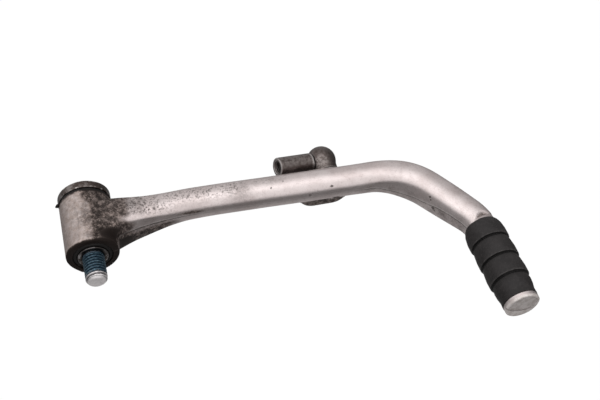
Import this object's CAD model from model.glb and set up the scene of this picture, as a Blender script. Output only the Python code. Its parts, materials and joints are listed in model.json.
"""Looks of a motorcycle gear shift lever: forged arm, ribbed toe rubber, pivot bolt and linkage
ball joint.

Shapes are in mm in the CAD frame. The pivot bolt lies along Y through the origin, its head
towards +Y and its thread towards -Y. The arm leaves the hub along +X, then bends twice towards
-Y into the toe peg. The parting line lies at z = 0. The linkage ball stands on the +Y side of
a lug under the arm.
"""
import json
import math

import bpy
import numpy as np
from mathutils import Matrix, Vector

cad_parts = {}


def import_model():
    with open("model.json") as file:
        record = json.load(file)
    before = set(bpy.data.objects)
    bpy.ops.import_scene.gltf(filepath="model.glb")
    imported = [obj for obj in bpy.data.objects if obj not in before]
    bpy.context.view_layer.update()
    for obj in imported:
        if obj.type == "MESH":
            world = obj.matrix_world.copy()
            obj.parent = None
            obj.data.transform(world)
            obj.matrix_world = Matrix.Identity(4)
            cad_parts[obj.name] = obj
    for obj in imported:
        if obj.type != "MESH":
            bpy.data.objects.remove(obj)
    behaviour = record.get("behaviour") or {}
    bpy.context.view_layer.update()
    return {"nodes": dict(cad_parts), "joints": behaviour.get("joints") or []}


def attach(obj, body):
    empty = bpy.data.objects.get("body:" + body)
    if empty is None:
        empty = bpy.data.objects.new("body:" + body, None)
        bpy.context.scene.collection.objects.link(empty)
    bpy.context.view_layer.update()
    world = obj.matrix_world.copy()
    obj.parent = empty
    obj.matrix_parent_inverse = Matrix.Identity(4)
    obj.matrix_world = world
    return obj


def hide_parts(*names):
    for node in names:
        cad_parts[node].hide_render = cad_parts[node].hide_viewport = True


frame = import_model()
NODES, JOINTS = frame["nodes"], {j["name"]: j for j in frame["joints"]}
MM = 0.001
RAD = math.pi / 180.0

# ---------------------------------------------------------------- sizes, mm and degrees
# arm centre line: straight, first bend, straight neck, second bend, straight peg
KNEE = 57.0                      # the straight steepens on the hub side of this distance
KNEE_SLOPE, KNEE_SOFT = -0.03643, 5.0
ARM_Y, FALL = 21.9, 1.4          # place at the knee, and heading below +X
BEND_X, BEND1_R, TURN1 = 136.8, 33.5, 54.3
NECK_LEN, BEND2_R, TURN2 = 22.6, 22.5, 87.3

# arm section
HALF_WIDTH, HALF_HEIGHT = 7.15, 7.1
FLARE_FAR = 1.9                  # narrowing of the +Y side towards the hub

HUB_R, HUB_Y0, HUB_Y1 = 12.1, 0.6, 30.5
HUB_BORE_R, SEAT_R, SEAT_Y = 8.6, 9.1, 3.2
STUD_X, STUD_Z, STUD_HOLE_R = 118.5, -5.8, 3.05
LUG_R, LUG_Y0, LUG_Y1 = 7.9, 18.2, 29.0

# peg core, rubber and end plate; the rubber's ends are measured from the start of the peg
CORE_R, RUB_LEN, RUB_R, RIB_N, END_R, END_H = 6.4, 43.6, 9.7, 4, 8.3, 2.2
RUB0 = -3.3
RUB1 = RUB0 + RUB_LEN

# ball joint
BALL = np.array(JOINTS["socket_swivel"]["pos_m"], float) * 1000
SWING, TILT, ROLL = 14 * RAD, 11 * RAD, 17 * RAD
SKIRT, RING_Y = 6.4, -3.1        # skirt depth and wire ring height, from the ball centre


def pick(full):
    return full


# ---------------------------------------------------------------- field helpers
def unit(heading):
    return np.array([math.cos(heading * RAD), math.sin(heading * RAD)])


def left(heading):
    return np.array([-math.sin(heading * RAD), math.cos(heading * RAD)])


def ease(value):
    value = np.clip(value, 0.0, 1.0)
    return value * value * (3 - 2 * value)


def gauss(value, width):
    return np.exp(-(value / width) ** 2)


def soft_min(a, b, reach):
    near = np.maximum(reach - np.abs(a - b), 0.0) / reach
    return np.minimum(a, b) - near * near * near * reach / 6.0


def soft_max(a, b, reach):
    return -soft_min(-a, -b, reach)


def rounded(a, b, radius):
    """Overlap of two fields with their common edge rounded."""
    outside = np.hypot(np.maximum(a + radius, 0), np.maximum(b + radius, 0))
    return outside + np.minimum(np.maximum(a, b) + radius, 0) - radius


def convex(u, v, outline):
    """Distance to a convex outline given counter-clockwise."""
    dist = np.full(u.shape, -1e9)
    for (x0, y0), (x1, y1) in zip(outline, np.roll(outline, -1, 0)):
        length = math.hypot(x1 - x0, y1 - y0)
        dist = np.maximum(dist, ((u - x0) * (y1 - y0) - (v - y0) * (x1 - x0)) / length)
    return dist


def thread_depth(along, angle, pitch, crest=0.15, flank=0.6):
    """Thread profile: 0 on one flat, 1 on the other."""
    phase = np.mod(along / pitch + angle / (2 * math.pi), 1.0)
    return ease((np.abs(2 * phase - 1) - crest) / flank)


# ---------------------------------------------------------------- the arm's centre line
def arm_path():
    """Stretches after the first straight: start, heading, left normal, distance, bend radius."""
    point = np.array([BEND_X, ARM_Y + KNEE * math.tan(FALL * RAD) - BEND_X * math.tan(FALL * RAD)])
    distance = BEND_X / math.cos(FALL * RAD)
    path = []
    for turn0, turn1, radius, run in ((FALL, TURN1, BEND1_R, NECK_LEN),
                                      (TURN1, TURN2, BEND2_R, 0.0)):
        path.append((point, unit(-turn0), left(-turn0), distance, radius))
        point = point - radius * left(-turn0) + radius * left(-turn1)
        distance = distance + radius * (turn1 - turn0) * RAD
        path.append((point, unit(-turn1), left(-turn1), distance, 0.0))
        point = point + run * unit(-turn1)
        distance = distance + run
    return path


PATH = arm_path()
BEND1_AT, NECK_AT, BEND2_AT, PEG_AT = [stretch[3] for stretch in PATH]
PEG_START, PEG_DIR, PEG_LEFT = PATH[-1][:3]


def arm_coords(x, y):
    """Distance along the arm's centre line, and offset from it towards the bolt head side."""
    spot = np.stack([x, y], -1)
    start, heading, normal, distance, _ = PATH[0]
    along = (spot - start) @ heading + distance
    side = (spot - start) @ normal
    knee = KNEE_SLOPE * KNEE_SOFT * np.logaddexp(0.0, (KNEE - along) / KNEE_SOFT)
    side = side - knee * (along < 120)
    reached = True
    for start, heading, normal, distance, radius in PATH:
        rel = spot - start
        reached = reached & (rel @ heading > 0)
        if radius:
            rel = spot - (start - radius * normal)
            here = distance + radius * np.arctan2(rel @ heading, rel @ normal)
            offset = np.hypot(rel[:, 0], rel[:, 1]) - radius
        else:
            here = rel @ heading + distance
            offset = rel @ normal
        along = np.where(reached, here, along)
        side = np.where(reached, offset, side)
    return along, side


def peg_coords(x, y, z):
    """Distance along the peg, offset to its left, and radius about its axis."""
    rel = np.stack([x - PEG_START[0], y - PEG_START[1]], -1)
    side = rel @ PEG_LEFT
    return rel @ PEG_DIR, side, np.hypot(side, z)


# ---------------------------------------------------------------- the forging as a field
# height of the side walls' top crease (up) and bottom crease (low) by distance along the arm
CREASE_AT = [8, 14, 17.7, 20.7, 23.7, 28.5, 33, 37.8, 42.6, 47, 60, 128, 138, 147, 153, 160, 180,
             190, 197, 203]
CREASE_UP = [9.9, 9.0, 8.1, 7.4, 6.7, 5.9, 5.0, 4.0, 3.2, 2.8, 2.6, 2.6, 3.3, 4.7, 5.7, 6.2, 6.2,
             5.6, 4.9, 4.7]
CREASE_LOW = [10.3, 10.0, 9.5, 9.0, 8.3, 7.3, 6.2, 5.0, 4.1, 3.5, 3.0, 3.0, 3.6, 4.6, 5.3, 5.7,
              5.8, 5.4, 5.0, 4.8]
# half width on the -Y side by distance along the arm
NEAR_AT = [-3, 4, 8, 11, 14.4, 18, 23.8, 27.7, 33.3, 39, 46, 60]
NEAR_HALF = [19.4, 18.9, 16.8, 14.8, 13.2, 11.9, 10.25, 9.5, 8.5, 7.7, 7.2, 7.15]
# moving average of the tables: shift along the arm, weight
SMOOTHING = ((-3, 0.15), (-1.5, 0.22), (0, 0.26), (1.5, 0.22), (3, 0.15))
# outline (x, z) of the lug's web about the stud
WEB = np.array([(-20.5, 3), (-20.5, -0.4), (-18.6, -2.6), (-16, -3.6), (-9, -4), (7.5, -3.9),
                (10.2, -3.4), (12.7, -0.4), (12.7, 3)], float)
# fold across the peg's end face: offset to the left, z
FOLD_SIDE = [-8, -6.5, -3.5, -0.5, 2.2, 4.8, 6.0, 6.8, 8]
FOLD_Z = [0.4, -0.7, -2.3, -3.1, -3.25, -2.8, -1.2, 1.5, 4.5]


def draft(height):
    """How far a side wall leans in at a height over the parting line."""
    return 0.035 * height + 0.0150 * height * height


def smooth_table(along, stations, values):
    return sum(weight * np.interp(along + shift, stations, values) for shift, weight in SMOOTHING)


def section(along):
    """Half widths on the +Y and -Y sides, half height, and shares of bend, neck and end taper."""
    bend = ease((along - BEND1_AT + 1.5) / ((NECK_AT - BEND1_AT) * 0.80))
    bend = bend * (1 - ease((along - NECK_AT) / (NECK_LEN + (PEG_AT - BEND2_AT) * 0.7)))
    neck = ease((along - NECK_AT) / NECK_LEN)
    taper = 1 - 0.235 * np.clip((along - PEG_AT + 5.2) / 5.1, 0, 1)
    swell = 0.55 * bend + 0.15 * neck
    far = HALF_WIDTH + swell - FLARE_FAR * ease((50 - along) / 25)
    near = smooth_table(along, NEAR_AT, NEAR_HALF) + swell
    flare = np.minimum(4.2, 3.7 * np.maximum(0, (44 - along) / 30) ** 2)
    height = HALF_HEIGHT + 1.75 * bend + 0.35 * neck + flare
    return far * taper, near * taper, height * taper, bend, neck, taper


def arm_field(x, y, z):
    """Bar with domed top and bottom; its drafted side walls meet in the line z = 0."""
    along, side = arm_coords(x, y)
    far, near, height, bend, neck, taper = section(along)
    up = smooth_table(along, CREASE_AT, CREASE_UP) * taper
    low = smooth_table(along, CREASE_AT, CREASE_LOW) * taper
    crease = low + (up - low) * ease((z + 1.5) / 3.0)
    level = np.sqrt(z * z + 0.02)
    sag = np.maximum(height - crease, 0.6)
    near_top, far_top = near - draft(crease), far - draft(crease)
    half, middle = (near_top + far_top) / 2, (far_top - near_top) / 2
    radius = (half * half + sag * sag) / (2 * sag)
    dome = np.hypot(side - middle, level - (height - radius)) - radius
    wall = np.maximum(-side - near, side - far) + draft(level)
    return soft_max(dome, wall * 0.985, 0.85 + 0.45 * bend + 1.3 * neck), along, side


def lug_field(x, y, z):
    """Lug round the stud hole, drawn out towards -X, with its web."""
    x, z = x - STUD_X, z - STUD_Z
    slot_x = np.clip(x, -9.0, 0.0)
    slab = np.abs(y - (LUG_Y0 + LUG_Y1) / 2) - (LUG_Y1 - LUG_Y0) / 2
    body = rounded(np.hypot(x - slot_x, z) - LUG_R, slab, 1.0)
    return soft_min(body, rounded(convex(x, z, WEB), slab, 0.9), 1.6)


def end_dent(along, side):
    """Distance along the arm from the curved dent at the end of the neck."""
    return along - 197.5 - 0.09 * (side - 0.6) ** 2


def body_field(points):
    x, y, z = points[:, 0], points[:, 1], points[:, 2]
    dist, along, side = arm_field(x, y, z)
    top = ease((z + 1.0) / 4.0)
    # collar and dent at the end of the neck
    dist = dist - 0.34 * gauss(along - 199.85, 0.75) * (0.45 + 0.55 * top)
    dist = dist + 1.10 * gauss(end_dent(along, side) - 0.1, 1.25) * gauss(side - 0.5, 3.7) * top
    # forging waviness
    waves = np.sin(along * 0.16 + 1.0) * np.sin(side * 0.35 + z * 0.25 + along * 0.05)
    dist = dist + 0.045 * waves * ease((along - 12) / 20) * ease((196 - along) / 6)
    # slight flat along the top of the first bend
    dist = dist + 0.18 * gauss(along - 172, 9) * gauss(side - 2.0, 3.0) * top
    # the arm ends inside the hub and inside the peg
    dist = np.maximum(dist, np.maximum(-(x + 3.0), along - PEG_AT - 2.0))
    bore = np.hypot(x, z)
    rim = bore - HUB_R
    hub = np.maximum(rounded(rim, HUB_Y0 - y, 1.3), rounded(rim, y - HUB_Y1, 0.45))
    dist = soft_min(dist, hub, 3.2 + 6.0 * ease((10 - y) / 8) * ease((4 - z) / 4))
    dist = soft_min(dist, lug_field(x, y, z), 2.6)
    # peg core and its end plate, sunk above the fold
    run, peg_side, radius = peg_coords(x, y, z)
    core = np.maximum(radius - CORE_R, np.maximum(-(run + 4.0), run - RUB1 - 1.0))
    dist = soft_min(dist, core, 0.8)
    fold = np.interp(peg_side, FOLD_SIDE, FOLD_Z)
    sunk = 0.38 * ease((7.15 - radius) / 0.55) * ease((z - fold) / 0.45)
    sunk = sunk + 0.25 * ease((fold - z) / 5.0)
    rim = radius - END_R
    plate = np.maximum(rounded(rim, RUB1 - run, 0.35),
                       rounded(rim, run - RUB1 - END_H - 0.7 + sunk, 0.8))
    dist = soft_min(dist, plate, 0.5)
    # hub bore, seal seat and stud hole
    dist = soft_max(dist, HUB_BORE_R - bore, 0.35)
    dist = soft_max(dist, -np.maximum(bore - SEAT_R, y - SEAT_Y), 0.35)
    stud = np.hypot(x - STUD_X, z - STUD_Z)
    return soft_max(dist, -np.maximum(stud - STUD_HOLE_R, -y), 0.3)


# ---------------------------------------------------------------- meshing of a field
CORNERS = np.array([[i, j, k] for i in (0, 1) for j in (0, 1) for k in (0, 1)])
EDGES = [(a, b) for a in range(8) for b in range(a + 1, 8)
         if np.abs(CORNERS[a] - CORNERS[b]).sum() == 1]
BLOCK = 8                        # cells along the side of a sampling block
BLOCK_BATCH, POINT_BATCH = 400, 400000


def sample(field, points):
    if len(points) <= POINT_BATCH:
        return field(points)
    return np.concatenate([field(points[i:i + POINT_BATCH])
                           for i in range(0, len(points), POINT_BATCH)])


def gradient(field, points, reach=0.02):
    slope = np.empty_like(points)
    for axis in range(3):
        step = np.zeros(3)
        step[axis] = reach
        rise = sample(field, points + step) - sample(field, points - step)
        slope[:, axis] = rise / (2 * reach)
    return slope


def surface_cells(field, low, size, blocks):
    """Cells of the grid that the zero surface passes through, and their corner values."""
    index = np.stack(np.meshgrid(*[np.arange(n) for n in blocks], indexing="ij"), -1).reshape(-1, 3)
    middle = sample(field, low + (index + 0.5) * BLOCK * size)
    index = index[np.abs(middle) < BLOCK * size * 0.5 * 1.7321 * 1.5 + 0.6]
    grid = np.stack(np.meshgrid(*[np.arange(BLOCK + 1)] * 3, indexing="ij"), -1).reshape(-1, 3)
    cells, values = [], []
    for i in range(0, len(index), BLOCK_BATCH):
        base = index[i:i + BLOCK_BATCH] * BLOCK
        points = low + (base[:, None, :] + grid[None]).reshape(-1, 3) * size
        nodes = field(points).reshape(-1, BLOCK + 1, BLOCK + 1, BLOCK + 1)
        corners = np.stack([nodes[:, a:BLOCK + a, b:BLOCK + b, c:BLOCK + c]
                            for a, b, c in CORNERS], -1)
        inside = corners < 0
        crossed = inside.any(-1) & ~inside.all(-1)
        where = np.argwhere(crossed)
        cells.append(base[where[:, 0]] + where[:, 1:])
        values.append(corners[crossed])
    return np.concatenate(cells), np.concatenate(values)


def cell_quads(cells, values, blocks):
    """One quad across each grid edge that the surface cuts."""
    span = blocks * BLOCK + 2

    def key(cell):
        return (cell[:, 0] * span[1] + cell[:, 1]) * span[2] + cell[:, 2]

    keys = key(cells)
    order = np.argsort(keys)
    ranked = keys[order]
    quads = []
    for axis, corner in ((0, 4), (1, 2), (2, 1)):
        u, v = [a for a in range(3) if a != axis]
        cut = (values[:, 0] < 0) != (values[:, corner] < 0)
        inside = values[cut, 0] < 0
        found = np.ones(len(inside), bool)
        index = []
        for du, dv in ((0, 0), (-1, 0), (-1, -1), (0, -1)):
            cell = cells[cut]
            cell[:, u] += du
            cell[:, v] += dv
            wanted = key(cell)
            at = np.clip(np.searchsorted(ranked, wanted), 0, len(ranked) - 1)
            found &= ranked[at] == wanted
            index.append(order[at])
        quad = np.stack(index, 1)[found]
        keep = inside[found] if axis != 1 else ~inside[found]
        quads.append(np.where(keep[:, None], quad, quad[:, ::-1]))
    return np.concatenate(quads)


def surface_net(field, low, high, size, reach=0.01):
    """Points, quads and normals of the zero surface, with the points pulled on to it."""
    low, high = np.array(low, float), np.array(high, float)
    blocks = np.ceil((high - low) / (BLOCK * size)).astype(int)
    cells, values = surface_cells(field, low, size, blocks)
    total, count = np.zeros((len(cells), 3)), np.zeros(len(cells))
    for a, b in EDGES:
        start, end = values[:, a], values[:, b]
        cut = (start < 0) != (end < 0)
        share = np.where(cut, start / np.where(cut, start - end, 1.0), 0.0)[:, None]
        total += np.where(cut[:, None], CORNERS[a] + share * (CORNERS[b] - CORNERS[a]), 0.0)
        count += cut
    points = low + (cells + total / count[:, None]) * size
    quads = cell_quads(cells, values, blocks)
    edges = np.concatenate([quads[:, [a, (a + 1) % 4]] for a in range(4)])
    home = points.copy()
    for relax in (False, True):
        if relax:
            total, count = np.zeros_like(points), np.zeros(len(points))
            for a, b in ((0, 1), (1, 0)):
                for axis in range(3):
                    total[:, axis] += np.bincount(edges[:, a], points[edges[:, b], axis],
                                                  len(points))
                count += np.bincount(edges[:, a], minlength=len(points))
            points = points + 0.5 * (total / np.maximum(count, 1)[:, None] - points)
        for _ in range(2):
            slope = gradient(field, points)
            steep = np.maximum((slope ** 2).sum(1), 0.05)
            points = points - (sample(field, points) / steep)[:, None] * slope
        # no point strays further than 0.9 of a cell
        moved = points - home
        excess = np.maximum(1.0, np.linalg.norm(moved, axis=1) / (0.9 * size))
        points = home + moved / excess[:, None]
    normals = gradient(field, points, reach)
    return points, quads, normals / np.linalg.norm(normals, axis=1)[:, None]


def cavity(field, points, normals, reach):
    """How much the surface closes in on itself within reach: 0 open, 1 deep corner."""
    return np.clip(1.0 - sample(field, points + normals * reach) / reach, 0, 1.5)


def convexity(field, points, normals, reach):
    return np.clip(1.0 + sample(field, points - normals * reach) / reach, 0, 1.5)


# ---------------------------------------------------------------- mesh helpers
def piece(node, body, slot, points, faces, attributes, normals=None, sharp=None, name=None):
    name = name or node + "_visual"
    mesh = bpy.data.meshes.new(name)
    mesh.vertices.add(len(points))
    mesh.vertices.foreach_set("co", (np.asarray(points, np.float32) * MM).ravel())
    loops = np.concatenate([np.asarray(group, np.int32).ravel() for group in faces])
    sizes = np.concatenate([np.full(len(group), group.shape[1], np.int32) for group in faces])
    starts = np.concatenate([[0], np.cumsum(sizes)[:-1]]).astype(np.int32)
    mesh.loops.add(len(loops))
    mesh.loops.foreach_set("vertex_index", loops)
    mesh.polygons.add(len(sizes))
    mesh.polygons.foreach_set("loop_start", starts)
    mesh.polygons.foreach_set("use_smooth", np.ones(len(sizes), bool))
    mesh.update(calc_edges=True)
    mesh.validate()
    for key, values in attributes.items():
        attribute = mesh.attributes.new(key, "FLOAT", "POINT")
        attribute.data.foreach_set("value", np.asarray(values, np.float32))
    if sharp is not None:
        mesh.set_sharp_from_angle(angle=sharp * RAD)
    if normals is not None:
        mesh.normals_split_custom_set_from_vertices(normals.astype(np.float32))
    ob = bpy.data.objects.new(name, mesh)
    bpy.context.scene.collection.objects.link(ob)
    mesh.materials.append(MATERIALS[slot])
    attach(ob, body)
    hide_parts(node)


def fillet(corners, closed=False):
    """Round each corner (radius, height, rounding) of a profile.

    Returns points (radius, height, edge), where edge is 1 on the rounds. Support points stand
    beside the rounds.
    """
    profile = []
    count = len(corners)
    for i, (r, t, rounding) in enumerate(corners):
        corner = np.array([r, t], float)
        if rounding <= 0 or (not closed and i in (0, count - 1)):
            profile.append((corner[0], corner[1], 0.0))
            continue
        back = np.array(corners[(i - 1) % count][:2], float) - corner
        ahead = np.array(corners[(i + 1) % count][:2], float) - corner
        back_len, ahead_len = np.linalg.norm(back), np.linalg.norm(ahead)
        back, ahead = back / back_len, ahead / ahead_len
        half = math.acos(max(-1.0, min(1.0, float(back @ ahead)))) / 2
        cut = min(rounding / math.tan(half), 0.46 * back_len, 0.46 * ahead_len)
        radius = cut * math.tan(half)
        inward = (back + ahead) / np.linalg.norm(back + ahead)
        centre = corner + inward * radius / math.sin(half)
        start, end = corner + back * cut, corner + ahead * cut
        support = min(0.25, 0.4 * radius + 0.05)
        if back_len - cut > 2 * support:
            profile.append((*(start + back * support), 0.0))
        steps = 6
        spoke0, spoke1 = start - centre, end - centre
        angle = math.acos(max(-1.0, min(1.0, float(spoke0 @ spoke1) / radius ** 2)))
        for j in range(steps + 1):
            u = j / steps
            spoke = spoke0 * math.sin((1 - u) * angle) + spoke1 * math.sin(u * angle)
            profile.append((*(centre + spoke / math.sin(angle)), 1.0))
        if ahead_len - cut > 2 * support:
            profile.append((*(end + ahead * support), 0.0))
    return profile


def revolve(profile, count, wobble=None):
    """Closed profile (radius, height, edge) turned about +Z.

    The profile runs counter-clockwise, so the faces look outwards.
    """
    angle = np.arange(count) * 2 * math.pi / count
    rings = []
    for r, height, _ in profile:
        radius = r + (wobble(angle, height) if wobble else 0.0)
        rings.append(np.stack([radius * np.cos(angle), radius * np.sin(angle),
                               np.full(count, float(height))], 1))
    index = np.arange(len(profile) * count).reshape(-1, count)
    turned = np.roll(index, -1, 1)
    quads = np.stack([index, turned, np.roll(turned, -1, 0), np.roll(index, -1, 0)], -1)
    edge = np.repeat([point[2] for point in profile], count)
    return np.concatenate(rings), quads.reshape(-1, 4), edge


def turn(points, axes, origin=(0, 0, 0)):
    """Local points to the CAD frame; axes are the images of local x, y, z."""
    return np.asarray(points) @ np.array(axes, float) + np.array(origin, float)


ABOUT_Y = ((0, 0, 1), (1, 0, 0), (0, 1, 0))
ABOUT_PEG = ((PEG_LEFT[0], PEG_LEFT[1], 0), (0, 0, 1), (PEG_DIR[0], PEG_DIR[1], 0))


def value_noise(points, scale, seed):
    """Smooth value noise in -1..1, one cell per scale mm."""
    place = np.asarray(points, float) / scale
    cell = np.floor(place).astype(np.int64)
    share = place - cell
    share = share * share * (3 - 2 * share)
    total = 0.0
    for corner in CORNERS:
        keys = (cell + corner) * np.array((73856093, 19349663, 83492791))
        bits = keys[:, 0] ^ keys[:, 1] ^ keys[:, 2] ^ (seed * 2654435761)
        bits = (bits ^ (bits >> 13)) * 1274126177
        bits = bits ^ (bits >> 16)
        weight = np.where(corner, share, 1 - share)
        value = ((bits & 0xFFFF) / 32767.5) - 1.0
        total = total + weight[:, 0] * weight[:, 1] * weight[:, 2] * value
    return total


# ---------------------------------------------------------------- node trees
class Value:
    """A node output; sums and products of it become math nodes."""

    def __init__(self, tree, socket):
        self.tree = tree
        self.socket = socket

    def __add__(self, other):
        return self.tree.math("ADD", self, other)

    def __sub__(self, number):
        return self.tree.math("ADD", self, -number)

    def __rsub__(self, number):
        return self.tree.math("SUBTRACT", number, self)

    def __mul__(self, other):
        return self.tree.math("MULTIPLY", self, other)


class Tree:
    """Short way to write a node tree."""

    def __init__(self, owner):
        owner.use_nodes = True
        self.tree = owner.node_tree
        self.tree.nodes.clear()

    def node(self, kind, **settings):
        node = self.tree.nodes.new("ShaderNode" + kind)
        for key, value in settings.items():
            setattr(node, key, value)
        return node

    def link(self, output, socket):
        self.tree.links.new(output, socket)

    def put(self, socket, value):
        if isinstance(value, Value):
            self.link(value.socket, socket)
        elif isinstance(value, tuple):
            socket.default_value = (*value, 1.0)
        else:
            socket.default_value = value

    def fill(self, node, values, output=0):
        """Set or link the inputs by number; gives an output."""
        for key, value in values.items():
            self.put(node.inputs[key], value)
        return Value(self, node.outputs[output])

    def math(self, operation, a, b=0.0):
        return self.fill(self.node("Math", operation=operation), {0: a, 1: b, 2: 0.0})

    def ramp(self, value, lo, hi, out=(0.0, 1.0)):
        """Smooth change from out[0] at lo to out[1] at hi."""
        node = self.node("MapRange", interpolation_type="SMOOTHSTEP")
        return self.fill(node, {0: value, 1: lo, 2: hi, 3: out[0], 4: out[1]})


class Surface(Tree):
    """A material with one principled shader, textured in mm of object space."""

    def __init__(self, name):
        self.material = bpy.data.materials.new(name)
        super().__init__(self.material)
        out = self.node("OutputMaterial")
        self.shader = self.node("BsdfPrincipled")
        self.link(self.shader.outputs[0], out.inputs[0])
        coords = self.node("TexCoord")
        scale = self.node("VectorMath", operation="SCALE")
        scale.inputs["Scale"].default_value = 1.0 / MM
        self.link(coords.outputs["Object"], scale.inputs[0])
        self.place = Value(self, scale.outputs[0])

    def maximum(self, a, b):
        return self.math("MAXIMUM", a, b)

    def mix(self, mask, a, b):
        """Colour a, going over to colour b where the mask is 1."""
        return self.fill(self.node("Mix", data_type="RGBA"), {0: mask, 6: a, 7: b}, output=2)

    def lerp(self, mask, a, b):
        return self.fill(self.node("Mix", data_type="FLOAT"), {0: mask, 2: a, 3: b})

    def noise(self, scale, detail=4.0, rough=0.55, place=None, warp=0.0):
        return self.fill(self.node("TexNoise"), {
            "Vector": place or self.place, "Scale": scale, "Detail": detail,
            "Roughness": rough, "Distortion": warp})

    def swing(self, noise, amount):
        """Noise centred on zero and scaled."""
        return (noise - 0.5) * amount

    def attr(self, name):
        node = self.node("Attribute", attribute_name=name)
        return Value(self, node.outputs["Fac"])

    def xyz(self):
        node = self.node("SeparateXYZ")
        self.link(self.place.socket, node.inputs[0])
        return [Value(self, output) for output in node.outputs]

    def bump(self, height, strength, depth):
        return self.fill(self.node("Bump"),
                         {"Strength": strength, "Distance": depth * MM, "Height": height})

    def finish(self, color, metal, rough, normal, specular=None):
        self.fill(self.shader, {"Base Color": color, "Metallic": metal, "Roughness": rough,
                                "Normal": normal})
        if specular is not None:
            self.put(self.shader.inputs["Specular IOR Level"], specular)
        return self.material


# ---------------------------------------------------------------- materials
def forged_aluminium():
    g = Surface("forged_aluminium")
    x, _, _ = g.xyz()
    broad = g.noise(scale=0.10, detail=3.0)
    mid = g.noise(scale=0.5, detail=5.0, rough=0.62)
    fine = g.noise(scale=2.2, detail=5.0, rough=0.62)
    grain = g.noise(scale=7.0, detail=2.0, rough=0.5)
    # bare skin in three tones
    base = g.mix(g.ramp(broad, lo=0.34, hi=0.66), (0.635, 0.558, 0.548), (0.735, 0.660, 0.652))
    base = g.mix(g.ramp(mid, lo=0.48, hi=0.72) * 0.32, base, (0.46, 0.385, 0.375))
    base = g.mix(g.ramp(fine, lo=0.52, hi=0.68) * 0.40, base, (0.38, 0.31, 0.30))
    # oxide tone of the hub
    hub = g.ramp(x, lo=20.0, hi=-2.0)
    base = g.mix(hub * g.ramp(mid, lo=0.3, hi=0.7, out=(0.25, 0.7)), base, (0.43, 0.335, 0.285))
    # grime: a tone that deepens with thickness, broken up by speckle
    patch = g.ramp(g.noise(scale=0.38, detail=5.0, rough=0.72), lo=0.38, hi=0.64, out=(0.42, 1.80))
    speck = patch + g.swing(g.noise(scale=1.7, rough=0.70), 3.6)
    grime = g.attr("grime")
    base = g.mix(g.ramp(grime, lo=0.04, hi=0.55) * 0.62, base, (0.37, 0.275, 0.235))
    solid = g.ramp(grime, lo=1.00, hi=1.40)
    amount = grime * g.lerp(solid, g.maximum(speck, 0.15), 1.15)
    clean = g.math("EXPONENT", amount * -2.3)
    soiled = 1.0 - clean
    color = g.mix(soiled, base, (0.014, 0.0095, 0.0080))
    # pitting and nicks in the skin
    holes = g.ramp(g.noise(scale=0.95, detail=5.0, rough=0.74, warp=0.6), lo=0.53, hi=0.585)
    cells = g.fill(g.node("TexVoronoi", feature="F1"), {"Vector": g.place, "Scale": 0.55})
    spots = g.ramp(cells, lo=0.36, hi=0.20)
    pit = g.attr("pits") * g.maximum(holes, spots * g.ramp(mid, lo=0.46, hi=0.56))
    ragged = g.attr("nick") + g.swing(g.noise(scale=1.9, detail=3.0, rough=0.6), 1.1)
    pit = g.maximum(pit, g.ramp(ragged, lo=0.34, hi=0.52))
    color = g.mix(pit * 0.86, color, (0.050, 0.038, 0.033))
    # parting line: fine dark crack with a raised edge
    seam = g.attr("seam") + g.swing(g.noise(scale=0.35, detail=3.0, rough=0.5), 0.55)
    strength = g.attr("seam_w")
    width = g.ramp(x, lo=60.0, hi=20.0, out=(0.34, 0.60))
    broken = g.ramp(g.noise(scale=0.28, detail=3.0, rough=0.6), lo=0.30, hi=0.55, out=(0.35, 1.0))
    crack = g.ramp(g.math("ABSOLUTE", seam), lo=width, hi=0.10) * (strength * broken)
    color = g.mix(crack * 0.85, color, (0.055, 0.042, 0.038))
    lip = strength * g.math("EXPONENT", g.math("POWER", seam - 0.55, 2.0) * -9.0)
    # bright wear on edges that are clean
    wear = g.maximum(g.attr("edge") * g.ramp(mid, lo=0.35, hi=0.6, out=(0.5, 1.0)), lip * 0.8)
    wear = wear * clean
    color = g.mix(wear * 0.75, color, (0.82, 0.765, 0.755))
    # end face of the peg, lighter and more matte
    face = g.attr("face")
    end = g.mix(g.ramp(mid, lo=0.35, hi=0.65), (0.82, 0.765, 0.75), (0.60, 0.545, 0.52))
    end = g.mix(g.attr("crease") * 0.9, end, (0.10, 0.08, 0.075))
    end = g.mix(g.attr("edge") * 0.9, end, (0.96, 0.92, 0.91))
    color = g.mix(face, color, end)
    rough = g.lerp(g.ramp(fine, lo=0.3, hi=0.8), 0.34, 0.50)
    rough = g.lerp(g.maximum(soiled, pit), rough, 0.62)
    rough = g.lerp(face, rough, 0.5)
    metal = g.lerp(g.maximum(soiled * 0.85, pit), 1.0, 0.25)
    metal = g.lerp(face, metal, 0.45)
    # relief: skin, pits, caked grime, parting line
    height = fine * 0.62 + (mid * 0.9 + grain * 0.16)
    height = height + pit * -1.5
    height = height + soiled * g.noise(scale=2.6, rough=0.7) * 1.1
    height = height + (crack * -1.6 + lip * 1.4)
    specular = g.lerp(soiled, 0.5, 0.16)
    return g.finish(color, metal, rough, g.bump(height, strength=0.55, depth=0.10), specular)


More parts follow.
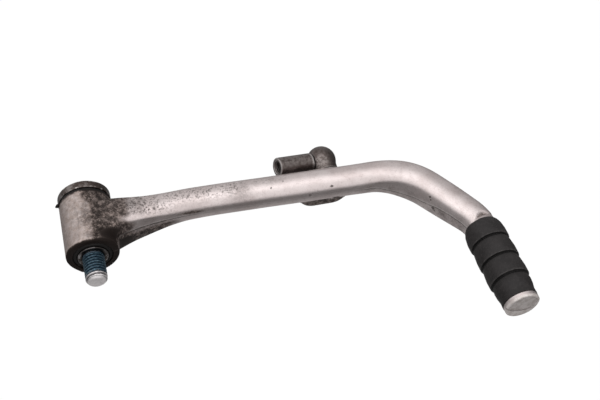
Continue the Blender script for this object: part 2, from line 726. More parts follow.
def bolt_steel():
    g = Surface("bolt_steel")
    _, y, _ = g.xyz()
    mid = g.noise(scale=0.8, detail=5.0, rough=0.6)
    fine = g.noise(scale=4.0, rough=0.62)
    # blue coat on the thread, ending raggedly before the tip
    coat = g.ramp(y + g.swing(mid, 2.8), lo=-11.2, hi=-10.4)
    coat = coat * g.ramp(y, lo=0.6, hi=-0.2)
    crest = g.attr("crest")
    blue = g.mix(g.ramp(mid, lo=0.35, hi=0.7), (0.010, 0.022, 0.040), (0.024, 0.058, 0.090))
    lit = g.mix(g.ramp(mid, lo=0.3, hi=0.7), (0.034, 0.078, 0.115), (0.15, 0.235, 0.29))
    rubbed = g.ramp(crest, lo=0.25, hi=0.85) * g.ramp(fine, lo=0.33, hi=0.66, out=(0.45, 1.0))
    blue = g.mix(rubbed, blue, lit)
    # bare thread with dark roots
    bare = g.mix(g.ramp(mid, lo=0.4, hi=0.75), (0.88, 0.845, 0.85), (0.70, 0.665, 0.67))
    root = g.ramp(crest, lo=0.75, hi=0.15) * (g.ramp(fine, lo=0.38, hi=0.54, out=(0.25, 1.0))
                                              * g.ramp(y, lo=-13.7, hi=-13.0))
    bare = g.mix(root, bare, (0.055, 0.055, 0.06))
    # dark head with lighter patches, rubbed edges and specks
    head = g.mix(g.ramp(mid, lo=0.36, hi=0.7), (0.070, 0.054, 0.048), (0.130, 0.106, 0.098))
    patch = g.ramp(g.noise(scale=0.15, rough=0.62), lo=0.48, hi=0.60)
    head = g.mix(patch * 0.8, head, (0.30, 0.27, 0.26))
    rub = g.attr("edge") * g.ramp(g.noise(scale=0.38, rough=0.66), lo=0.54, hi=0.62)
    head = g.mix(rub, head, (0.60, 0.56, 0.55))
    head = g.mix(g.ramp(fine, lo=0.60, hi=0.68), head, (0.03, 0.022, 0.02))
    on_head = g.ramp(y, lo=31.0, hi=31.6)
    color = g.mix(coat, bare, blue)
    color = g.mix(on_head, color, head)
    tip = g.ramp(y, lo=-12.6, hi=-13.4)
    metal = g.lerp(coat, g.lerp(tip, 1.0, 0.55), g.lerp(crest, 0.12, 0.80))
    rough = g.lerp(coat, g.lerp(on_head, 0.38, 0.30), 0.25)
    rough = rough + g.swing(fine, 0.2)
    return g.finish(color, metal, rough, g.bump(mid * 0.8 + fine * 0.45, strength=0.5, depth=0.06))


def sleeve_steel():
    g = Surface("sleeve_steel")
    mid = g.noise(scale=1.1, detail=5.0, rough=0.6)
    stretch = g.node("VectorMath", operation="MULTIPLY")
    g.link(g.place.socket, stretch.inputs[0])
    stretch.inputs[1].default_value = (3.0, 0.3, 3.0)
    streaks = g.noise(scale=2.0, detail=3.0, rough=0.5, place=Value(g, stretch.outputs[0]))
    _, _, z = g.xyz()
    color = g.mix(g.ramp(mid, lo=0.38, hi=0.72), (0.66, 0.64, 0.645), (0.33, 0.30, 0.29))
    worn = g.ramp(g.noise(scale=0.19, rough=0.68), lo=0.44, hi=0.52)
    color = g.mix(worn * 0.92, color, (0.060, 0.048, 0.043))
    color = g.mix(g.attr("edge") * (0.85 - worn * 0.75), color, (0.78, 0.75, 0.75))
    # darker upper side
    upper = g.ramp(z + g.swing(mid, 5.0), lo=1.8, hi=4.2)
    color = g.mix(upper * 0.82, color, (0.045, 0.038, 0.036))
    color = g.mix(g.attr("grime") * 0.85, color, (0.035, 0.028, 0.025))
    normal = g.bump(mid * 0.6 + streaks, strength=0.35, depth=0.04)
    return g.finish(color, 1.0, g.lerp(mid, 0.22, 0.42), normal)


def bush_bronze():
    g = Surface("bush_bronze")
    mid = g.noise(scale=1.4, detail=5.0, rough=0.6)
    color = g.mix(mid, (0.42, 0.27, 0.12), (0.58, 0.42, 0.22))
    return g.finish(color, 1.0, g.lerp(mid, 0.3, 0.5), g.bump(mid, strength=0.3, depth=0.03))


def seal_rubber():
    g = Surface("seal_rubber")
    mid = g.noise(scale=1.6, detail=5.0, rough=0.65)
    fine = g.noise(scale=8.0, detail=3.0, rough=0.6)
    color = g.mix(g.ramp(mid, lo=0.45, hi=0.80), (0.006, 0.005, 0.005), (0.026, 0.021, 0.018))
    normal = g.bump(mid + fine * 0.4, strength=0.5, depth=0.08)
    return g.finish(color, 0.0, g.lerp(mid, 0.5, 0.75), normal, specular=0.25)


def peg_rubber():
    g = Surface("peg_rubber")
    broad = g.noise(scale=0.14, detail=3.0, rough=0.5)
    mid = g.noise(scale=0.8, detail=5.0, rough=0.62)
    fine = g.noise(scale=5.0, rough=0.65)
    color = g.mix(g.ramp(broad, lo=0.35, hi=0.7), (0.0120, 0.0100, 0.0102),
                  (0.0200, 0.0172, 0.0174))
    color = g.mix(g.ramp(mid, lo=0.48, hi=0.72) * 0.6, color, (0.036, 0.0315, 0.0315))
    # pale rib edges, dark grooves
    edge = g.attr("edge") * g.ramp(mid, lo=0.34, hi=0.66, out=(0.1, 0.8))
    color = g.mix(edge, color, (0.075, 0.069, 0.068))
    color = g.mix(g.attr("grime"), color, (0.0035, 0.0030, 0.0030))
    normal = g.bump(mid * 0.55 + fine * 0.55, strength=0.6, depth=0.12)
    return g.finish(color, 0.0, g.lerp(mid, 0.50, 0.66), normal, specular=0.34)


def dark_steel(name, tone):
    """Dark steel of the ball joint; tone scales its base colours."""
    g = Surface(name)

    def toned(*color):
        return tuple(part * tone for part in color)

    broad = g.noise(scale=0.20, detail=3.0)
    mid = g.noise(scale=0.8, detail=6.0, rough=0.64)
    fine = g.noise(scale=4.2, rough=0.62)
    color = g.mix(g.ramp(broad * 0.6 + mid * 0.4, lo=0.36, hi=0.66),
                  toned(0.082, 0.065, 0.060), toned(0.150, 0.126, 0.120))
    color = g.mix(g.ramp(fine, lo=0.55, hi=0.75) * 0.35, color, toned(0.24, 0.205, 0.195))
    wear = g.attr("edge") * g.ramp(fine, lo=0.30, hi=0.55, out=(0.5, 1.0))
    color = g.mix(wear, color, (0.66, 0.62, 0.61))
    rubbed = g.attr("rub") * g.ramp(mid, lo=0.36, hi=0.60)
    color = g.mix(rubbed * 0.7, color, (0.42, 0.375, 0.36))
    color = g.mix(g.attr("grime"), color, (0.012, 0.009, 0.008))
    rough = g.lerp(wear, g.lerp(mid, 0.28, 0.44), 0.3)
    normal = g.bump(mid * 0.8 + fine * 0.5, strength=0.5, depth=0.06)
    return g.finish(color, g.lerp(g.attr("grime"), 0.90, 0.3), rough, normal)


def spring_steel():
    g = Surface("spring_steel")
    mid = g.noise(scale=2.5, rough=0.6)
    color = g.mix(g.ramp(mid, lo=0.4, hi=0.7), (0.52, 0.51, 0.52), (0.30, 0.28, 0.27))
    return g.finish(color, 1.0, g.lerp(mid, 0.25, 0.45), g.bump(mid, strength=0.3, depth=0.02))


# ---------------------------------------------------------------- the forged lever
# height of the parting line on the -Y side by distance along the arm
SEAM_AT = [14.6, 17.4, 20.8, 24.1, 27.9, 31.8, 34.2, 45, 60, 130, 139.3, 146.8, 154.5, 161.2,
           168.2, 173.9, 179.6, 185.3, 191.5, 197.2]
SEAM_Z = [1.3, 1.6, 1.5, 1.4, 1.2, 1.0, 0.9, 0.4, 0.0, 0.0, -0.4, -1.6, -2.0, -1.5, -0.8, 0.5,
          1.5, 1.7, 1.2, 1.2]
# strength of the parting line by distance along the arm
SEAM_W_AT = [4, 12, 36, 50, 60, 130, 138, 197, 199]
SEAM_W = [0, 1, 1, 0.35, 0.15, 0.15, 1, 1, 0]
# nicks in the skin: x, y, z, radius
NICKS = [(93.2, 20.4, 6.5, 0.9), (94.9, 20.2, 6.5, 0.6), (91.5, 21.4, 6.5, 0.8),
         (116.1, 14.5, 4.7, 1.0), (105.3, 14.0, 1.3, 1.3), (152.0, 18.7, 8.5, 0.8),
         (86.8, 18.0, 6.4, 0.6), (161.8, -4.9, -0.3, 1.3), (160.2, -2.3, 5.2, 0.9),
         (12.1, 10.5, 10.3, 1.1), (10.6, 9.1, 10.3, 0.9), (160.6, -2.9, 3.9, 0.7),
         (162.5, -5.6, -1.4, 0.8), (70.0, 24.0, 6.2, 0.7), (124.0, 22.0, 6.4, 0.6)]
# soft patches of grime: strength, centre x and y, half sizes, turn in degrees
HUB_PATCHES = [(0.34, 5.6, 27.6, 4.0, 3.6, 0), (0.10, 4.5, 18, 2.5, 8, 0),
               (0.95, 8.5, 4.0, 5.2, 3.8, 0), (0.75, 14.5, 8.0, 5.5, 1.9, 22)]
ARM_PATCHES = [(0.08, 88, 23, 7, 3, 0), (0.06, 72, 20, 6, 5, 0), (0.04, 152, 16, 8, 4, 0),
               (0.05, 176, -4, 8, 3, 0)]


def patches(x, y, table):
    total = 0.0
    for strength, at_x, at_y, half_u, half_v, angle in table:
        cos, sin = math.cos(angle * RAD), math.sin(angle * RAD)
        u = (x - at_x) * cos + (y - at_y) * sin
        v = (y - at_y) * cos - (x - at_x) * sin
        total = total + strength * gauss(u, half_u) * gauss(v, half_v)
    return total


def lever_grime(x, y, z, along, side, blotch, wide_cavity, tight_cavity):
    """Thickness of the grime; blotch is noise that breaks up its borders."""
    up, low = ease((z - 2.0) / 4.0), ease((2.0 - z) / 4.0)
    # packed between hub and arm
    border = x - 1.2 + 2.8 * ease((y - 21.5) / 6.0) - 0.9 * blotch
    grime = 0.60 * ease(border / 2.0) * ease((27 + 3 * blotch - x) / 13.0) * (up + 0.6 * low)
    grime += patches(x, y, HUB_PATCHES)
    # flared -Y side, below the parting line and along it
    flank = ease((-z - 0.2) / 1.6) * ease((-5.5 - side) / 3.0)
    grime += 0.62 * flank * ease((46 - along) / 14) * ease((along - 2) / 6)
    strip = ease((-6.0 - side) / 2.0) * ease((44 - along) / 10) * ease((along - 20) / 5)
    grime += 0.22 * strip * ease((3.2 - z) / 2)
    # inner corners
    grime += 0.70 * np.clip(wide_cavity - 0.25, 0, 1) * (along > 3)
    grime += 0.55 * np.clip(tight_cavity - 0.25, 0, 1)
    # rubbed clean: a streak beside the hub and the end of the flare's top
    grime -= patches(x, y, [(0.46, 17.5, 11.6, 5.4, 1.9, 8)]) * up
    grime -= 0.30 * ease((along - 29) / 3) * ease((44 - along) / 6) * up
    grime = np.maximum(grime, 0.0)
    # end faces and top of the hub
    grime += 0.75 * ease((y - 29.0) / 1.2) * (along < 20)
    grime += 1.75 * ease((1.9 + 0.4 * blotch - y) / 1.0) * (along < 25)
    grime += patches(x, y, [(0.16, 1.0, 13.5, 4.5, 4.5, 0)]) * up
    grime += 0.10 * ease((x + 3) / 3) * (x < 3) * up
    # lug
    grime += 0.62 * ease((-6.2 - z) / 1.8) * gauss(x - 114, 16)
    # streak on the -Y side where the flare ends, and a patch on the top beyond it
    grime += 0.75 * gauss(along - 48, 5.5) * gauss(z - 1.9 + 0.05 * (along - 48), 0.9) * (side < -5)
    beyond = ease((6.8 - np.abs(along - 72)) / 6) * ease((-side + 1) / 4)
    grime += 0.10 * beyond * up * (0.5 + 0.5 * blotch)
    # dent at the end of the neck, patches on the arm, collar
    grime += 0.50 * gauss(end_dent(along, side), 0.8) * gauss(side - 0.3, 3.6) * up
    grime += patches(x, y, ARM_PATCHES) * (1 + 0.6 * blotch) * (z > 2)
    grime += 0.30 * gauss(along - 201.2, 0.5)
    # patchy -Y side of the bends
    under = ease((along - 126) / 10) * ease((199 - along) / 6) * ease((-side - 3.5) / 2.5)
    grime += 0.14 * under * ease((4.5 - z) / 3) * np.clip(0.7 + 1.3 * blotch, 0, 2)
    # thin film over the hub
    grime += 0.06 * ease((14 - along) / 4) * ease((y - 2) / 2)
    return np.clip(grime, 0, 1.8) * (y > -55)


def lever_pits(x, y, z, along, side):
    """Where the skin is pitted: flare top, two hub areas, then two stretches of the arm's top."""
    flare = ease((along - 5) / 5) * ease((44 - along) / 16) * ease((side + 9) / 4) * (z > 2) * 0.95
    arm = ease((along - 30) / 8) * ease((84 - along) / 18) * gauss(side - 0.8, 4.2) * (z > 3)
    return np.maximum.reduce([
        flare,
        patches(x, y, [(0.95, -0.6, 12.9, 2.9, 2.6, 0)]) * (z > 8),
        0.28 * ease((6 - x) / 4) * (y > 2) * (y < 29),
        0.9 * arm,
        0.45 * gauss(along - 85, 9) * gauss(side - 2.5, 3.0) * (z > 3)])


def forged_lever():
    points, quads, normals = surface_net(body_field, (-13.5, -73, -15), (193.5, 33, 14.5),
                                         pick(0.47), reach=0.02)
    x, y, z = points.T
    along, side = arm_coords(x, y)
    edge = convexity(body_field, points, normals, 0.9)
    grime = lever_grime(x, y, z, along, side, value_noise(points, 5.0, 3),
                        cavity(body_field, points, normals, 2.2),
                        cavity(body_field, points, normals, 0.9))
    run, peg_side, rim = peg_coords(x, y, z)
    face = ease((run - (RUB1 + END_H - 0.75)) / 0.5) * (along > PEG_AT)
    # fold line, rim of the sunk part, and a faint tone over it
    fold = np.interp(peg_side, FOLD_SIDE, FOLD_Z)
    crease = face * np.maximum(gauss(z - fold - 0.18, 0.30),
                               0.45 * gauss(rim - 7.0, 0.3) * (z > fold))
    crease = np.maximum(crease, 0.22 * face * (rim < 7.0) * ease((z - fold) / 1.2))
    seam = np.clip(np.where(side < 0, z - np.interp(along, SEAM_AT, SEAM_Z), z), -4, 4)
    seam_w = np.interp(along, SEAM_W_AT, SEAM_W)
    seam_w = seam_w * np.where(side < 0, 1, 0.6) * (np.abs(side) > 2.5)
    nick = np.zeros(len(points))
    for *centre, radius in NICKS:
        away = np.linalg.norm(points - np.array(centre), axis=1)
        nick = np.maximum(nick, 1 - away / (1.25 * radius))
    attributes = {"grime": grime, "pits": lever_pits(x, y, z, along, side),
                  "edge": np.clip((edge - 0.22) / 0.5, 0, 1), "face": face, "crease": crease,
                  "seam": seam, "seam_w": seam_w, "nick": np.clip(nick, -1, 1)}
    piece("lever_body", "lever", "forged_aluminium", points, [quads], attributes,
          normals=normals, name="forged_lever")


# ---------------------------------------------------------------- pivot bolt
BOLT_TIP, THREAD_LEN, TIP_FACE = -14.2, 13.9, 0.12
CREST_R, ROOT_R, BOLT_PITCH = 4.97, 4.07, 1.5
TIP_RINGS = ((0.0, 0.0), (1.0, 0.0), (1.9, 0.01), (2.4, 0.03), (2.75, 0.07))  # radius, above tip
# shank and head corners: radius, y, rounding
BOLT_PROFILE = [(4.7, -0.25, 0), (4.7, 31.7, 0.2), (12.0, 32.0, 0.3), (12.3, 32.3, 0.25),
                (12.3, 35.4, 0.5), (11.05, 36.6, 0.5), (5.4, 36.6, 0.3)]
# hexagon recess: scale of its outline, y
HEX_APOTHEM = 4.0
HEX_RINGS = ((1.10, 36.5), (1.02, 36.2), (1.0, 36.1), (1.0, 34.5), (1.0, 33.1), (0.97, 33.0))


def bolt_rings(angle):
    """Rings from the tip to the bottom of the recess: radius, y, crest, edge."""
    for radius, rise in TIP_RINGS:
        yield radius, BOLT_TIP + rise, 0.0, 0.0
    steps = int(THREAD_LEN / 0.105)
    for i in range(steps + 1):
        y = BOLT_TIP + TIP_FACE + (THREAD_LEN - TIP_FACE) * i / steps
        depth = thread_depth(y, angle, BOLT_PITCH, crest=0.14, flank=0.62)
        fade = 1 - float(ease((y + 1.6) / 1.3))
        # the point narrows over its last 2.6 mm
        limit = CREST_R - 2.15 * max(0.0, 1.0 - (y - BOLT_TIP) / 2.6) ** 2.5
        radius = np.minimum(CREST_R - (CREST_R - ROOT_R) * depth * fade, limit)
        yield radius, y, (1 - depth) * (limit > 4.4), 0.0
    for radius, y, edge in fillet(BOLT_PROFILE):
        yield radius, y, 0.0, edge
    hexagon = HEX_APOTHEM / np.cos(np.mod(angle + math.pi / 6, math.pi / 3) - math.pi / 6)
    for scale, y in HEX_RINGS:
        yield hexagon * scale, y, 0.0, 0.5 if scale > 1.0 else 0.0
    yield 2.2, 32.95, 0.0, 0.0
    yield 0.0, 32.6, 0.0, 0.0


def pivot_bolt():
    count = pick(120)
    angle = np.arange(count) * 2 * math.pi / count
    points, crests, edges, rings = [], [], [], []
    for radius, y, crest, edge in bolt_rings(angle):
        radius = np.zeros(count) + radius
        used = 1 if radius.max() < 1e-6 else count     # one point on the axis
        rings.append(np.arange(count) % used + len(points))
        ring = np.stack([radius * np.cos(angle), np.full(count, y), radius * np.sin(angle)], 1)
        points.extend(ring[:used])
        crests.extend((np.zeros(count) + crest)[:used])
        edges.extend([edge] * used)
    quads, tris = [], []
    for a, b in zip(rings[:-1], rings[1:]):
        a_next, b_next = np.roll(a, -1), np.roll(b, -1)
        if a[0] == a[1]:
            tris.append(np.stack([a, b, b_next], 1))
        elif b[0] == b[1]:
            tris.append(np.stack([a, b, a_next], 1))
        else:
            quads.append(np.stack([a, b, b_next, a_next], 1))
    piece("pivot_bolt", "pivot", "bolt_steel", points, [np.concatenate(quads),
          np.concatenate(tris)], {"crest": crests, "edge": edges}, sharp=38)


# ---------------------------------------------------------------- turned rings
# corners: radius, height, rounding
SLEEVE = [(5.1, 0.0, 0.3), (7.0, 0.0, 0.35), (7.0, 32.0, 0.35), (5.1, 32.0, 0.3)]
NEAR_SEAL = [(7.05, 0.9, 0.15), (7.5, 0.45, 0.2), (8.35, 0.5, 0.25), (9.05, 1.05, 0.2),
             (9.05, 3.15, 0.2), (7.95, 3.15, 0.2), (7.9, 1.7, 0.2), (7.05, 1.9, 0.15)]
SOCKET_SEAL = [(3.06, -8.86, 0.1), (4.2, -8.86, 0.12), (4.38, -8.64, 0.12), (4.25, -8.42, 0.12),
               (3.06, -8.42, 0.1)]


def sleeve_grime(points):
    """Dirt at the -Y end: in the bore and on all but the end face."""
    inner = ease((6.35 - np.hypot(points[:, 0], points[:, 1])) / 0.6)
    return {"grime": np.maximum(inner, ease((points[:, 2] - 0.5) / 0.5)) * (points[:, 2] < 3)}


def ring_piece(node, body, slot, corners, origin=(0, 0, 0), count=160, extra=None):
    points, quads, edge = revolve(fillet(corners, closed=True), count)
    attributes = {"edge": edge}
    if extra:
        attributes.update(extra(points))
    piece(node, body, slot, turn(points, ABOUT_Y, origin), [quads], attributes, sharp=50)


def torn_seal_field(points):
    """Flat seal under the bolt head, with a torn tongue on the -X side of the hub."""
    x, y, z = points[:, 0], points[:, 1], points[:, 2]
    radius = np.hypot(x, z)
    angle = np.arctan2(z, x)
    outer = 11.72 + 0.10 * np.sin(3 * angle + 0.5) + 0.07 * np.sin(11 * angle)
    dist = rounded(radius - outer, np.abs(y - 31.22) - 0.66, 0.3)
    dist = np.maximum(dist, 7.06 - radius)
    collar = rounded(np.abs(radius - 7.75) - 0.68, np.abs(y - 30.3) - 0.36, 0.12)
    dist = soft_min(dist, collar, 0.2)
    out = x + 12.0
    flap = np.sqrt((out / 1.55) ** 2 + ((y - 30.75 - 0.18 * out) / 0.62) ** 2
                   + ((z - 3.0 - 0.15 * out) / 1.25) ** 2)
    flap = (flap - 1) * 0.6 + 0.12 * np.sin(4.1 * x + 2.0) * np.sin(3.3 * z)
    return soft_min(dist, flap, 0.35)


def torn_seal():
    points, quads, normals = surface_net(torn_seal_field, (-15.2, 28.8, -13.2),
                                         (13.2, 33.2, 13.2), pick(0.24))
    piece("seal_far", "lever", "seal_rubber", points, [quads],
          {"edge": np.zeros(len(points))}, normals=normals)


# ---------------------------------------------------------------- toe rubber
def rubber_corners(rib):
    """Corners (radius, height, rounding) round the rubber; each rib swells, then drops."""
    low = RUB_R - 1.10
    corners = [(7.72, 0.10, 0.2), (8.0, 0.02, 0.2)]
    for i in range(RIB_N):
        start = i * rib
        if i == RIB_N - 1:
            corners += [(low + 0.25, start + 0.85, 0.7), (low + 0.50, start + 2.6, 2.0),
                        (low + 0.35, start + rib * 0.45, 3.0),
                        (low - 0.20, start + rib * 0.72, 3.0),
                        (END_R + 0.22, start + rib - 0.12, 0.3)]
            continue
        if i == 0:
            corners += [(8.6, 0.95, 0.7), (9.25, 2.8, 2.0)]
        else:
            corners += [(low + 0.42, start + 0.85, 0.7), (low + 0.68, start + 2.6, 2.0)]
        corners += [(RUB_R - 0.02, start + rib * 0.58, 3.0),
                    (RUB_R - 0.04, start + rib - 0.42, 0.32),
                    (low - 0.12, start + rib - 0.12, 0.12),
                    (low - 0.22, start + rib + 0.05, 0.1)]
    return corners + [(END_R - 0.2, RUB_LEN, 0.1), (CORE_R + 0.05, RUB_LEN, 0.1),
                      (CORE_R + 0.05, 3.55, 0.4)]


def rubber_wobble(angle, height):
    slow = 0.07 * np.sin(2 * angle + 0.7) * math.sin(height * 0.11 + 0.4)
    return slow + 0.03 * np.sin(5 * angle + height * 0.35)


def toe_rubber():
    rib = RUB_LEN / RIB_N
    profile = fillet(rubber_corners(rib), closed=True)
    # split the long stretches so the wobble stays smooth
    split = []
    for (r0, t0, edge0), (r1, t1, edge1) in zip(profile, profile[1:] + profile[:1]):
        parts = max(1, int(math.hypot(r1 - r0, t1 - t0) / 0.35))
        for j in range(parts):
            u = j / parts
            split.append((r0 + (r1 - r0) * u, t0 + (t1 - t0) * u, edge0 * (1 - u) + edge1 * u))
    points, quads, _ = revolve(split, pick(200), wobble=rubber_wobble)
    height = points[:, 2]
    radius = np.hypot(points[:, 0], points[:, 1])
    grime, edge = np.zeros(len(points)), np.zeros(len(points))
    for i in range(1, RIB_N):
        groove = gauss(height - i * rib - 0.15, 0.95) * ease((RUB_R - 0.15 - radius) / 0.4)
        grime = np.maximum(grime, groove)
        edge = np.maximum(edge, gauss(height - i * rib + 0.45, 0.28))
    origin = (PEG_START[0] + PEG_DIR[0] * RUB0, PEG_START[1] + PEG_DIR[1] * RUB0, 0)
    piece("toe_rubber", "lever", "peg_rubber", turn(points, ABOUT_PEG, origin), [quads],
          {"edge": edge * (radius > RUB_R - 0.4), "grime": grime}, sharp=60)


# ---------------------------------------------------------------- ball joint
def socket_axes():
    """Images of the socket's own x, y, z: rolled about X, tilted about Z, swung about Y."""
    axes = []
    for x, y, z in ((1, 0, 0), (0, 1, 0), (0, 0, 1)):
        y, z = y * math.cos(ROLL) - z * math.sin(ROLL), y * math.sin(ROLL) + z * math.cos(ROLL)
        x, y = x * math.cos(TILT) - y * math.sin(TILT), x * math.sin(TILT) + y * math.cos(TILT)
        axes.append((x * math.cos(SWING) + z * math.sin(SWING), y,
                     -x * math.sin(SWING) + z * math.cos(SWING)))
    return axes


def socket_field(points):
    """Socket about the ball centre: mouth towards -y, threaded shank towards -x."""
    x, y, z = points[:, 0], points[:, 1], points[:, 2]
    run, radius = -x, np.hypot(y, z)
    ball = np.sqrt(x * x + y * y + z * z)
    mouth = np.hypot(x, z)
    skirt = np.maximum(mouth - 6.6, (mouth - 6.3 - (y + SKIRT)) * 0.72)
    skirt = rounded(skirt, np.maximum(-SKIRT - y, y - 0.2), 0.2)
    head = soft_min(ball - 7.4, skirt, 0.8)
    neck = np.maximum(radius - 3.75, np.maximum(2 - run, run - 8))
    shank = radius - 4.8
    shank = np.maximum(rounded(shank, 6.62 - run, 0.28), rounded(shank, run - 25.5, 0.65))
    # faint turned groove just behind the step
    shank = shank + 0.07 * gauss(run - 8.15, 0.16)
    dist = soft_min(np.minimum(head, shank), neck, 0.35)
    # mouth, ball seat, flared opening and ring groove
    dist = soft_max(dist, -np.maximum(mouth - 5.12, y), 0.15)
    dist = soft_max(dist, 5.08 - ball, 0.15)
    cone = mouth - (5.12 + np.maximum(0, -3.8 - y) * 0.28)
    dist = soft_max(dist, -np.maximum(cone, y + 3.5), 0.15)
    dist = soft_max(dist, -np.maximum(mouth - 5.45, np.abs(y - RING_Y) - 0.5), 0.12)
    # threaded bore with countersink
    depth = thread_depth(run, np.arctan2(z, y), 1.0)
    bore = radius - 2.5 - 0.42 * depth * ease((24.8 - run) / 0.5)
    dist = soft_max(dist, -np.maximum(bore, 10.9 - run), 0.12)
    countersink = (radius - 2.6 - (run - 24.6)) * 0.7
    return soft_max(dist, -np.maximum(countersink, 20 - run), 0.15)


def ball_socket():
    points, quads, normals = surface_net(socket_field, (-27.0, -8.0, -8.6), (8.6, 8.6, 8.6),
                                         pick(0.18))
    run, radius = -points[:, 0], np.hypot(points[:, 1], points[:, 2])
    inside = ((run > 8) & (radius < 3.4)) | (np.linalg.norm(points, axis=1) < 5.6)
    # corners, bore and the step at the neck are dirty
    grime = np.clip((cavity(socket_field, points, normals, 0.8) - 0.3) / 0.6, 0, 1)
    grime = grime + 0.35 * inside
    step = 0.9 * gauss(run - 6.35, 0.25) * (radius > 3.5) * (radius < 5.2) * (run > 0)
    grime = np.maximum(grime, step)
    # edges, rings on the shank's end face and a band near its start are bright
    wear = np.clip((convexity(socket_field, points, normals, 0.4) - 0.10) / 0.16, 0, 1)
    wear = wear * (1 - 0.7 * inside)
    end = np.maximum(gauss(radius - 4.35, 0.45), gauss(radius - 3.3, 0.25))
    wear = np.maximum(wear, 0.85 * ease((run - 25.1) / 0.3) * (radius < 4.9) * end)
    wear = np.maximum(wear, 0.6 * gauss(run - 7.25, 0.36) * (radius > 4.4))
    axes = socket_axes()
    normals = turn(normals, axes)
    facing = normals @ np.array((-0.25, -0.75, 0.61))
    rub = 0.8 * np.clip((facing - 0.75) / 0.2, 0, 1) * (run < 8)
    rub = rub + 0.35 * np.clip((normals[:, 2] - 0.6) / 0.3, 0, 1) * (run > 7)
    piece("ball_socket", "socket", "socket_steel", turn(points, axes, BALL), [quads],
          {"edge": wear, "grime": np.clip(grime, 0, 1), "rub": rub}, normals=normals)


def stud_field(points):
    """Ball with a neck, hexagon and screw towards -y."""
    x, y, z = points[:, 0], points[:, 1], points[:, 2]
    radius = np.hypot(x, z)
    ball = np.sqrt(x * x + y * y + z * z) - 5.0
    dist = soft_min(ball, rounded(radius - 3.0, np.maximum(-10 - y, y + 3), 0.1), 0.8)
    flats = np.abs(z)
    for angle in (60, 120):
        flats = np.maximum(flats, np.abs(z * math.cos(angle * RAD) + x * math.sin(angle * RAD)))
    hexagon = rounded(flats - 4.0, np.maximum(-11 - y, y + 8.9), 0.15)
    hexagon = soft_max(hexagon, (radius + np.abs(y + 9.95) * 1.3 - 5.6) * 0.6, 0.1)
    dist = soft_min(dist, hexagon, 0.25)
    depth = thread_depth(y, np.arctan2(z, x), 1.0)
    screw = radius - 2.95 + 0.42 * depth * ease((-11.6 - y) / 0.6)
    screw = soft_max(screw, np.maximum(-20.6 - y, y + 10.5), 0.1)
    screw = soft_max(screw, (radius - 2.4 - (y + 20.6)) * 0.7, 0.1)
    return soft_min(dist, screw, 0.1)


def ball_stud():
    points, quads, normals = surface_net(stud_field, (-6.5, -21.6, -6.5), (6.5, 6.2, 6.5),
                                         pick(0.16))
    edge = np.clip((convexity(stud_field, points, normals, 0.4) - 0.2) / 0.5, 0, 1)
    grime = np.clip((cavity(stud_field, points, normals, 0.6) - 0.3) / 0.6, 0, 1)
    piece("ball_stud", "lever", "stud_steel", points + BALL, [quads],
          {"edge": edge, "grime": grime}, normals=normals)


def socket_ring():
    """Open round-wire ring in its groove."""
    ring_r, wire_r, gap, tip = 4.92, 0.44, 0.20, 0.03
    start, end = gap, 2 * math.pi - gap
    rings, sides = pick(150), 20
    angle = np.linspace(start, end, rings)[:, None]
    around = np.arange(sides) * 2 * math.pi / sides
    radius = ring_r + wire_r * np.cos(around)[None, :]
    height = RING_Y + wire_r * np.sin(around)[None, :] * np.ones((rings, 1))
    points = np.stack([radius * np.cos(angle), height, radius * np.sin(angle)], -1).reshape(-1, 3)
    ring = np.arange(rings - 1)[:, None] * sides
    side = np.arange(sides)
    ahead = (side + 1) % sides
    quads = np.stack([ring + side, ring + ahead, ring + sides + ahead, ring + sides + side], -1)
    # each end closes in a shallow point
    first, last = len(points), (rings - 1) * sides
    ends = [(ring_r * math.cos(at), RING_Y, ring_r * math.sin(at))
            for at in (start - tip, end + tip)]
    caps = [np.stack([np.full(sides, first), ahead, side], 1),
            np.stack([np.full(sides, first + 1), last + side, last + ahead], 1)]
    points = turn(np.concatenate([points, ends]), socket_axes(), BALL)
    piece("socket_ring", "socket", "spring_steel", points,
          [quads.reshape(-1, 4), np.concatenate(caps)], {}, sharp=50)


# ---------------------------------------------------------------- build the pieces
MATERIALS = {
    "forged_aluminium": forged_aluminium(),
    "bolt_steel": bolt_steel(),
    "sleeve_steel": sleeve_steel(),
    "seal_rubber": seal_rubber(),
    "peg_rubber": peg_rubber(),
    "bush_bronze": bush_bronze(),
    "spring_steel": spring_steel(),
    "socket_steel": dark_steel("phosphated_steel", tone=1.0),
    "stud_steel": dark_steel("stud_steel", tone=1.5),
}

forged_lever()
pivot_bolt()
ring_piece("bearing_sleeve", "pivot", "sleeve_steel", SLEEVE, extra=sleeve_grime)
ring_piece("seal_near", "lever", "seal_rubber", NEAR_SEAL)
torn_seal()
toe_rubber()
ball_stud()
ring_piece("socket_seal", "joint_ring", "seal_rubber", SOCKET_SEAL, origin=BALL, count=120)
ball_socket()
socket_ring()
for bush in ("bush_near", "bush_far"):
    NODES[bush].data.materials.clear()
    NODES[bush].data.materials.append(MATERIALS["bush_bronze"])

# ---------------------------------------------------------------- floor, light, camera (metres)
FLOOR_Z, FLOOR_HALF = -0.090, 3.0
AMBIENT = 0.115
# soft lights of the world: direction, cosine where each starts and is full, strength
LOBES = [((0.0, -0.50, 0.866), 0.25, 0.80, 0.92), ((0.0, 0.75, 0.66), 0.30, 1.00, 0.46),
         ((-0.62, 0.58, 0.52), 0.55, 1.00, 0.26), ((0.2, 0.95, -0.20), 0.50, 1.00, 0.16),
         ((0.0, 0.0, -1.0), 0.60, 0.95, 0.34), ((-1.0, 0.1, 0.1), 0.35, 0.95, 0.24),
         ((1.0, -0.5, 0.1), 0.60, 0.98, 0.14)]


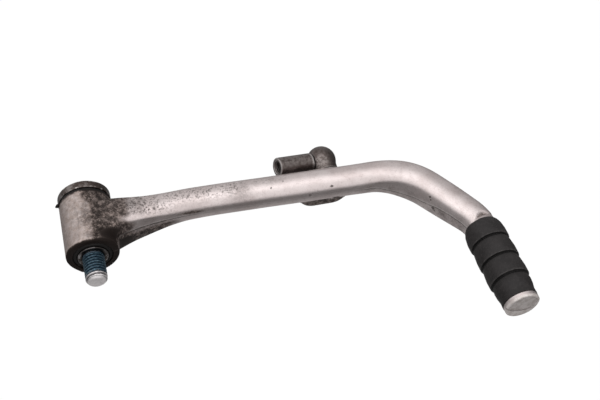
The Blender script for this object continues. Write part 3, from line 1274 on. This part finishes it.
def floor_material():
    """Pale floor that glows, so that only soft shadows show on it."""
    material = bpy.data.materials.new("pale_floor")
    t = Tree(material)
    out = t.node("OutputMaterial")
    diffuse = t.node("BsdfDiffuse")
    t.put(diffuse.inputs["Color"], (0.055, 0.0547, 0.0547))
    glow = t.node("Emission")
    t.fill(glow, {"Color": (1.0, 1.0, 1.0), "Strength": 0.962})
    both = t.node("AddShader")
    t.link(diffuse.outputs[0], both.inputs[0])
    t.link(glow.outputs[0], both.inputs[1])
    t.link(both.outputs[0], out.inputs[0])
    return material


def floor():
    mesh = bpy.data.meshes.new("floor")
    corners = [(x * FLOOR_HALF, y * FLOOR_HALF, FLOOR_Z)
               for x, y in ((-1, -1), (1, -1), (1, 1), (-1, 1))]
    mesh.from_pydata(corners, [], [(0, 1, 2, 3)])
    ob = bpy.data.objects.new("floor", mesh)
    bpy.context.scene.collection.objects.link(ob)
    mesh.materials.append(floor_material())
    ob.visible_glossy = False
    ob.visible_diffuse = False


def world():
    """White to the camera, soft lobes of light to everything else."""
    studio = bpy.data.worlds.new("studio")
    bpy.context.scene.world = studio
    t = Tree(studio)
    out = t.node("OutputWorld")
    light = t.node("Background")
    white = t.node("Background")
    t.fill(white, {"Color": (1.0, 1.0, 1.0), "Strength": 1.0})
    choice = t.node("MixShader")
    rays = t.node("LightPath")
    t.link(rays.outputs["Is Camera Ray"], choice.inputs[0])
    t.link(light.outputs[0], choice.inputs[1])
    t.link(white.outputs[0], choice.inputs[2])
    t.link(choice.outputs[0], out.inputs[0])
    coords = t.node("TexCoord")
    total = AMBIENT
    for direction, start, full, strength in LOBES:
        dot = t.node("VectorMath", operation="DOT_PRODUCT")
        t.link(coords.outputs["Generated"], dot.inputs[0])
        dot.inputs[1].default_value = Vector(direction).normalized()
        facing = Value(t, dot.outputs["Value"])
        lobe = t.ramp(facing, lo=start, hi=full, out=(0.0, strength))
        total = t.fill(t.node("Math", operation="ADD"), {0: total, 1: lobe})
    t.fill(light, {"Strength": total, "Color": (1.0, 0.995, 0.99)})


def key_light():
    place, target = (0.10, -0.16, 0.95), (0.09, 0.0, 0.0)
    light = bpy.data.lights.new("key", "AREA")
    light.shape = "RECTANGLE"
    light.size, light.size_y = 0.7, 0.5
    light.energy = 0.7
    light.color = (1.0, 0.99, 0.98)
    ob = bpy.data.objects.new("key", light)
    bpy.context.scene.collection.objects.link(ob)
    aim = (Vector(target) - Vector(place)).to_track_quat("-Z", "Y")
    ob.matrix_world = Matrix.Translation(place) @ aim.to_matrix().to_4x4()


def camera():
    lens = bpy.data.cameras.new("camera")
    lens.sensor_fit = "HORIZONTAL"
    lens.sensor_width, lens.lens = 36.0, 60.0
    lens.clip_start, lens.clip_end = 0.01, 20.0
    ob = bpy.data.objects.new("camera", lens)
    bpy.context.scene.collection.objects.link(ob)
    right, up = Vector((0.9663, -0.2515, 0.0556)), Vector((0.1606, 0.757, 0.6333))
    view = up.cross(right).normalized()
    up = right.cross(view).normalized()
    pose = Matrix((right, up, -view)).transposed().to_4x4()
    pose.translation = Vector((0.00342, -0.27651, 0.37057))
    ob.matrix_world = pose
    bpy.context.scene.camera = ob


floor()
world()
key_light()
camera()
bpy.context.scene.view_settings.view_transform = "Standard"
bpy.context.scene.view_settings.look = "None"
